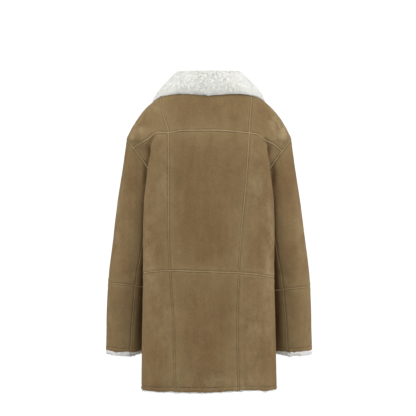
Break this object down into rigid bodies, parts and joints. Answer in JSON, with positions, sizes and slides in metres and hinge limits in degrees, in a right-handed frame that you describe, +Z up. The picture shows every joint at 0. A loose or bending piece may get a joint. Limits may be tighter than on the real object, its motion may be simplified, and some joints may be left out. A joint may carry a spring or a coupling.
{
  "type": "shearling coat",
  "caption": "Thigh-length suede coat with the wool inside, a broad turned-down wool collar, lapped seams and a buttoned front, filled out as when worn.",
  "frame": {"origin": "midway between the shoulders, level with their visible tops, where the wearer's shoulders carry the coat", "axes": "+Z up, +X to the wearer's left, +Y to the wearer's back, so the front faces -Y"},
  "size_m": [0.5824, 0.2817, 0.897],
  "materials": {
    "suede": "matt nap, wool on its inner side",
    "wool": "short dense pile",
    "horn": "satin"
  },
  "bodies": {
    "root": {"back_yoke_center": "suede", "back_yoke_left": "suede", "back_yoke_right": "suede", "back_center": "suede", "back_side_left": "suede", "back_side_right": "suede", "back_skirt_center": "suede", "back_skirt_left": "suede", "back_skirt_right": "suede", "front_left": "suede", "front_right": "suede", "front_skirt_left": "suede", "front_skirt_right": "suede", "sleeve_left_upper_outer": "suede", "sleeve_left_upper_under": "suede", "sleeve_left_lower_outer": "suede", "sleeve_left_lower_under": "suede", "sleeve_right_upper_outer": "suede", "sleeve_right_upper_under": "suede", "sleeve_right_lower_outer": "suede", "sleeve_right_lower_under": "suede", "collar": "wool", "button_1": "horn", "button_2": "horn", "button_3": "horn", "button_4": "horn", "button_5": "horn"}
  },
  "joints": []
}
